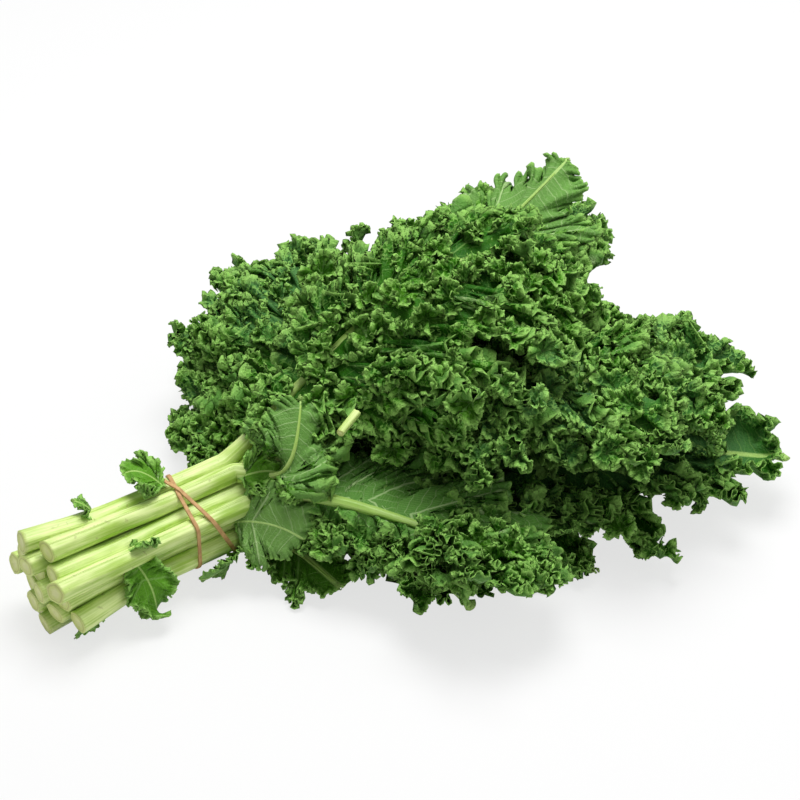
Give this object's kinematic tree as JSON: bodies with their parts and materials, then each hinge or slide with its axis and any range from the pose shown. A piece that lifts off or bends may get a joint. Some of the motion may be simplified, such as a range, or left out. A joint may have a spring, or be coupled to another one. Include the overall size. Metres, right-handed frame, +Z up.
{
  "type": "kale bunch",
  "caption": "Bunch of curly kale leaves lying on its side, pale cut stems gathered by a doubled rubber band and ruffled blades fanned out.",
  "frame": {"origin": "middle of the bunch's footprint on the table", "axes": "+X from the cut stem ends to the leaf tips, +Z up from the table"},
  "size_m": [0.4828, 0.3962, 0.1674],
  "materials": {
    "leaf": "satin, waxy green leaf with a pale midrib and stem",
    "band": "matt natural rubber"
  },
  "bodies": {
    "root": {"leaf_01": "leaf", "leaf_02": "leaf", "leaf_03": "leaf", "leaf_04": "leaf", "leaf_05": "leaf", "leaf_06": "leaf", "leaf_07": "leaf", "leaf_08": "leaf", "leaf_09": "leaf", "leaf_10": "leaf", "leaf_11": "leaf", "leaf_12": "leaf", "leaf_13": "leaf", "leaf_14": "leaf", "leaf_15": "leaf", "leaf_16": "leaf", "rubber_band": "band"}
  },
  "joints": []
}
